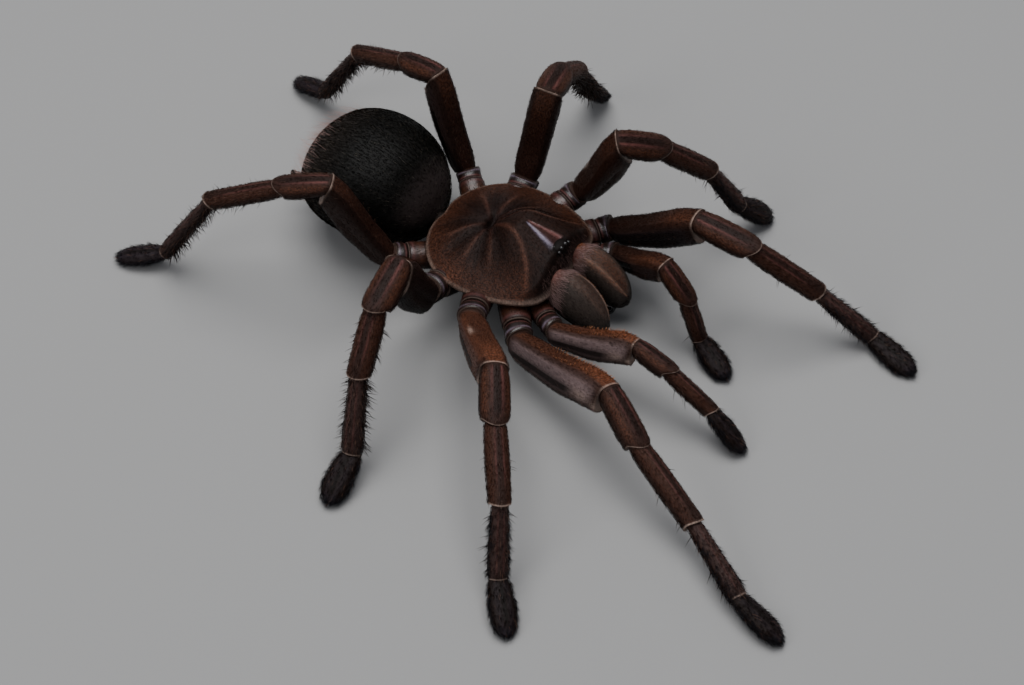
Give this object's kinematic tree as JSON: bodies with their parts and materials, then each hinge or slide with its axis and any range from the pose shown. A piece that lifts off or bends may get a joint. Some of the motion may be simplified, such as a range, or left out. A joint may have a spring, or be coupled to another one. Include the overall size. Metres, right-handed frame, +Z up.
{
  "type": "tarantula",
  "caption": "Large hairy brown ground spider standing with its legs spread, domed carapace, heavy jaws and round dark abdomen.",
  "frame": {"origin": "middle of the model's box, on the floor that the feet stand on", "axes": "+Z up, the head faces -Y, and the spider's own left side is +X"},
  "size_m": [0.151, 0.1846, 0.0437],
  "materials": {
    "leg_velvet": "short chestnut velvet with longer pale and rust bristles, cream rims at the joints",
    "foot_pad": "dense black brush of the foot with a blue-grey claw tuft",
    "carapace_velvet": "flat dark brown down that fans out from a central pit, tan fringe",
    "abdomen_velvet": "short grey-black down under sparse long pale hairs",
    "jaw_velvet": "grey-brown down with a tan stripe and a pink-grey fringe",
    "underside_velvet": "dark brown short down",
    "horn": "polished black horn of the fangs and the eyes"
  },
  "bodies": {
    "root": {"carapace": "carapace_velvet", "sternum_and_coxae": "underside_velvet", "eye_tubercle": "horn", "abdomen": "abdomen_velvet", "right_chelicera": "jaw_velvet", "right_fang": "horn", "right_spinneret": "underside_velvet", "left_chelicera": "jaw_velvet", "left_fang": "horn", "left_spinneret": "underside_velvet", "right_leg_1_femur": "leg_velvet", "right_leg_1_patella": "leg_velvet", "right_leg_1_tibia": "leg_velvet", "right_leg_1_metatarsus": "leg_velvet", "right_leg_1_tarsus": "foot_pad", "right_leg_2_femur": "leg_velvet", "right_leg_2_patella": "leg_velvet", "right_leg_2_tibia": "leg_velvet", "right_leg_2_metatarsus": "leg_velvet", "right_leg_2_tarsus": "foot_pad", "right_leg_3_femur": "leg_velvet", "right_leg_3_patella": "leg_velvet", "right_leg_3_tibia": "leg_velvet", "right_leg_3_metatarsus": "leg_velvet", "right_leg_3_tarsus": "foot_pad", "right_leg_4_femur": "leg_velvet", "right_leg_4_patella": "leg_velvet", "right_leg_4_tibia": "leg_velvet", "right_leg_4_metatarsus": "leg_velvet", "right_leg_4_tarsus": "foot_pad", "left_leg_1_femur": "leg_velvet", "left_leg_1_patella": "leg_velvet", "left_leg_1_tibia": "leg_velvet", "left_leg_1_metatarsus": "leg_velvet", "left_leg_1_tarsus": "foot_pad", "left_leg_2_femur": "leg_velvet", "left_leg_2_patella": "leg_velvet", "left_leg_2_tibia": "leg_velvet", "left_leg_2_metatarsus": "leg_velvet", "left_leg_2_tarsus": "foot_pad", "left_leg_3_femur": "leg_velvet", "left_leg_3_patella": "leg_velvet", "left_leg_3_tibia": "leg_velvet", "left_leg_3_metatarsus": "leg_velvet", "left_leg_3_tarsus": "foot_pad", "left_leg_4_femur": "leg_velvet", "left_leg_4_patella": "leg_velvet", "left_leg_4_tibia": "leg_velvet", "left_leg_4_metatarsus": "leg_velvet", "left_leg_4_tarsus": "foot_pad", "right_palp_femur": "leg_velvet", "right_palp_patella": "leg_velvet", "right_palp_tibia": "leg_velvet", "right_palp_tarsus": "foot_pad", "left_palp_femur": "leg_velvet", "left_palp_patella": "leg_velvet", "left_palp_tibia": "leg_velvet", "left_palp_tarsus": "foot_pad"}
  },
  "joints": []
}
